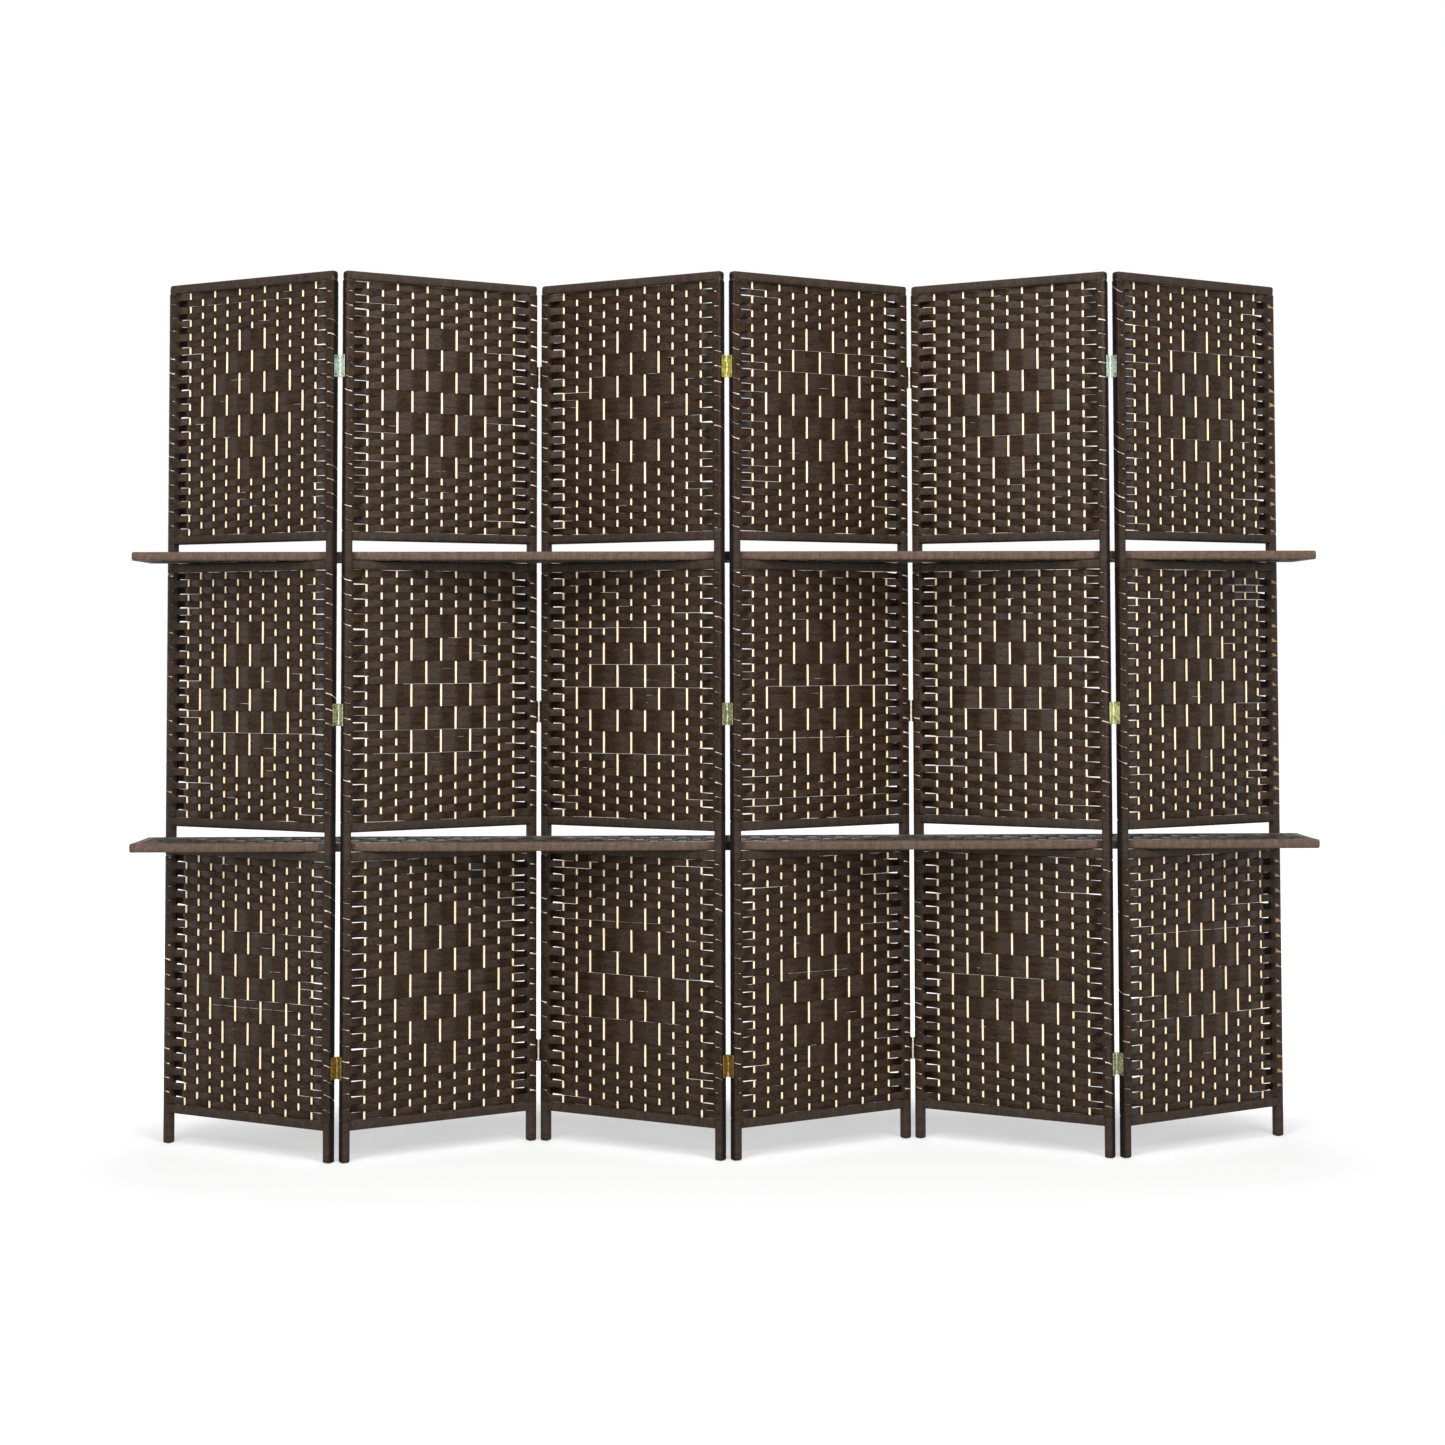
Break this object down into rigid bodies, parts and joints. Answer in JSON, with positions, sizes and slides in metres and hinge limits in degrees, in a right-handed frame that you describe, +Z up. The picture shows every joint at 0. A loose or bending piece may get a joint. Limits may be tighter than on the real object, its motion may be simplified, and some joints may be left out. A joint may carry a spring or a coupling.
{
  "type": "folding screen with shelves",
  "caption": "Zigzag folding screen of hinged, cord-wrapped panels with woven fields, and long shelf boards that lie in slots between the rails.",
  "frame": {"origin": "on the floor, under the middle of the standing screen", "axes": "+Z up, +X along the screen from the viewer's left to right, -Y towards the viewer, as the screen stands in the picture"},
  "size_m": [2.42, 0.2318, 1.8],
  "materials": {
    "frame": "wooden pole wrapped in fine dark brown twisted paper cord",
    "weave": "dark brown twisted paper fibre woven over pale wooden stakes",
    "shelf": "board wrapped in fine brown cord around a woven top",
    "hinge": "brass-coated steel, satin"
  },
  "bodies": {
    "panel_1": {"panel_1_frame": "frame", "panel_1_weave_lower": "weave", "panel_1_weave_middle": "weave", "panel_1_weave_upper": "weave", "hinge_1_top_leaf_left": "hinge", "hinge_1_middle_leaf_left": "hinge", "hinge_1_bottom_leaf_left": "hinge"},
    "panel_2": {"panel_2_frame": "frame", "panel_2_weave_lower": "weave", "panel_2_weave_middle": "weave", "panel_2_weave_upper": "weave", "hinge_1_top_leaf_right": "hinge", "hinge_1_middle_leaf_right": "hinge", "hinge_1_bottom_leaf_right": "hinge", "hinge_2_top_leaf_left": "hinge", "hinge_2_middle_leaf_left": "hinge", "hinge_2_bottom_leaf_left": "hinge"},
    "panel_3": {"panel_3_frame": "frame", "panel_3_weave_lower": "weave", "panel_3_weave_middle": "weave", "panel_3_weave_upper": "weave", "hinge_2_top_leaf_right": "hinge", "hinge_2_middle_leaf_right": "hinge", "hinge_2_bottom_leaf_right": "hinge", "hinge_3_top_leaf_left": "hinge", "hinge_3_middle_leaf_left": "hinge", "hinge_3_bottom_leaf_left": "hinge"},
    "panel_4": {"panel_4_frame": "frame", "panel_4_weave_lower": "weave", "panel_4_weave_middle": "weave", "panel_4_weave_upper": "weave", "hinge_3_top_leaf_right": "hinge", "hinge_3_middle_leaf_right": "hinge", "hinge_3_bottom_leaf_right": "hinge", "hinge_4_top_leaf_left": "hinge", "hinge_4_middle_leaf_left": "hinge", "hinge_4_bottom_leaf_left": "hinge"},
    "panel_5": {"panel_5_frame": "frame", "panel_5_weave_lower": "weave", "panel_5_weave_middle": "weave", "panel_5_weave_upper": "weave", "hinge_4_top_leaf_right": "hinge", "hinge_4_middle_leaf_right": "hinge", "hinge_4_bottom_leaf_right": "hinge", "hinge_5_top_leaf_left": "hinge", "hinge_5_middle_leaf_left": "hinge", "hinge_5_bottom_leaf_left": "hinge"},
    "panel_6": {"panel_6_frame": "frame", "panel_6_weave_lower": "weave", "panel_6_weave_middle": "weave", "panel_6_weave_upper": "weave", "hinge_5_top_leaf_right": "hinge", "hinge_5_middle_leaf_right": "hinge", "hinge_5_bottom_leaf_right": "hinge"},
    "shelf_upper_left": {"shelf_upper_left": "shelf"},
    "shelf_upper_right": {"shelf_upper_right": "shelf"},
    "shelf_lower_left": {"shelf_lower_left": "shelf"},
    "shelf_lower_right": {"shelf_lower_right": "shelf"}
  },
  "joints": [
    {"name": "hinge_line_3", "type": "hinge", "parent": "panel_3", "child": "panel_4", "pos_m": [0, -0.09917, 0], "axis": [0, 0, 1], "range_deg": [0, 120]},
    {"name": "hinge_line_4", "type": "hinge", "parent": "panel_4", "child": "panel_5", "pos_m": [0.39355, 0.09917, 0], "axis": [0, 0, 1], "range_deg": [-120, 0]},
    {"name": "hinge_line_5", "type": "hinge", "parent": "panel_5", "child": "panel_6", "pos_m": [0.7871, -0.09917, 0], "axis": [0, 0, 1], "range_deg": [0, 120]},
    {"name": "hinge_line_2", "type": "hinge", "parent": "panel_3", "child": "panel_2", "pos_m": [-0.39355, 0.09917, 0], "axis": [0, 0, 1], "range_deg": [0, 120]},
    {"name": "hinge_line_1", "type": "hinge", "parent": "panel_2", "child": "panel_1", "pos_m": [-0.7871, -0.09917, 0], "axis": [0, 0, 1], "range_deg": [-120, 0]},
    {"name": "shelf_upper_left_swivel", "type": "hinge", "parent": "panel_3", "child": "shelf_upper_left", "pos_m": [-0.19678, 0, 0], "axis": [0, 0, 1], "range_deg": [0, 60]},
    {"name": "shelf_upper_right_slide", "type": "slide", "parent": "shelf_upper_left", "child": "shelf_upper_right", "axis": [1, 0, 0], "range_m": [0, 1.25]},
    {"name": "shelf_lower_right_slide", "type": "slide", "parent": "shelf_upper_left", "child": "shelf_lower_right", "axis": [1, 0, 0], "range_m": [0, 1.25]},
    {"name": "shelf_lower_left_slide", "type": "slide", "parent": "shelf_upper_left", "child": "shelf_lower_left", "axis": [-1, 0, 0], "range_m": [0, 1.25]}
  ],
  "couplings": [
    {"joint": "hinge_line_4", "follows": "hinge_line_3", "ratio": -1},
    {"joint": "hinge_line_5", "follows": "hinge_line_3", "ratio": 1},
    {"joint": "hinge_line_2", "follows": "hinge_line_3", "ratio": 1},
    {"joint": "hinge_line_1", "follows": "hinge_line_3", "ratio": -1},
    {"joint": "shelf_upper_left_swivel", "follows": "hinge_line_3", "ratio": 0.5}
  ]
}
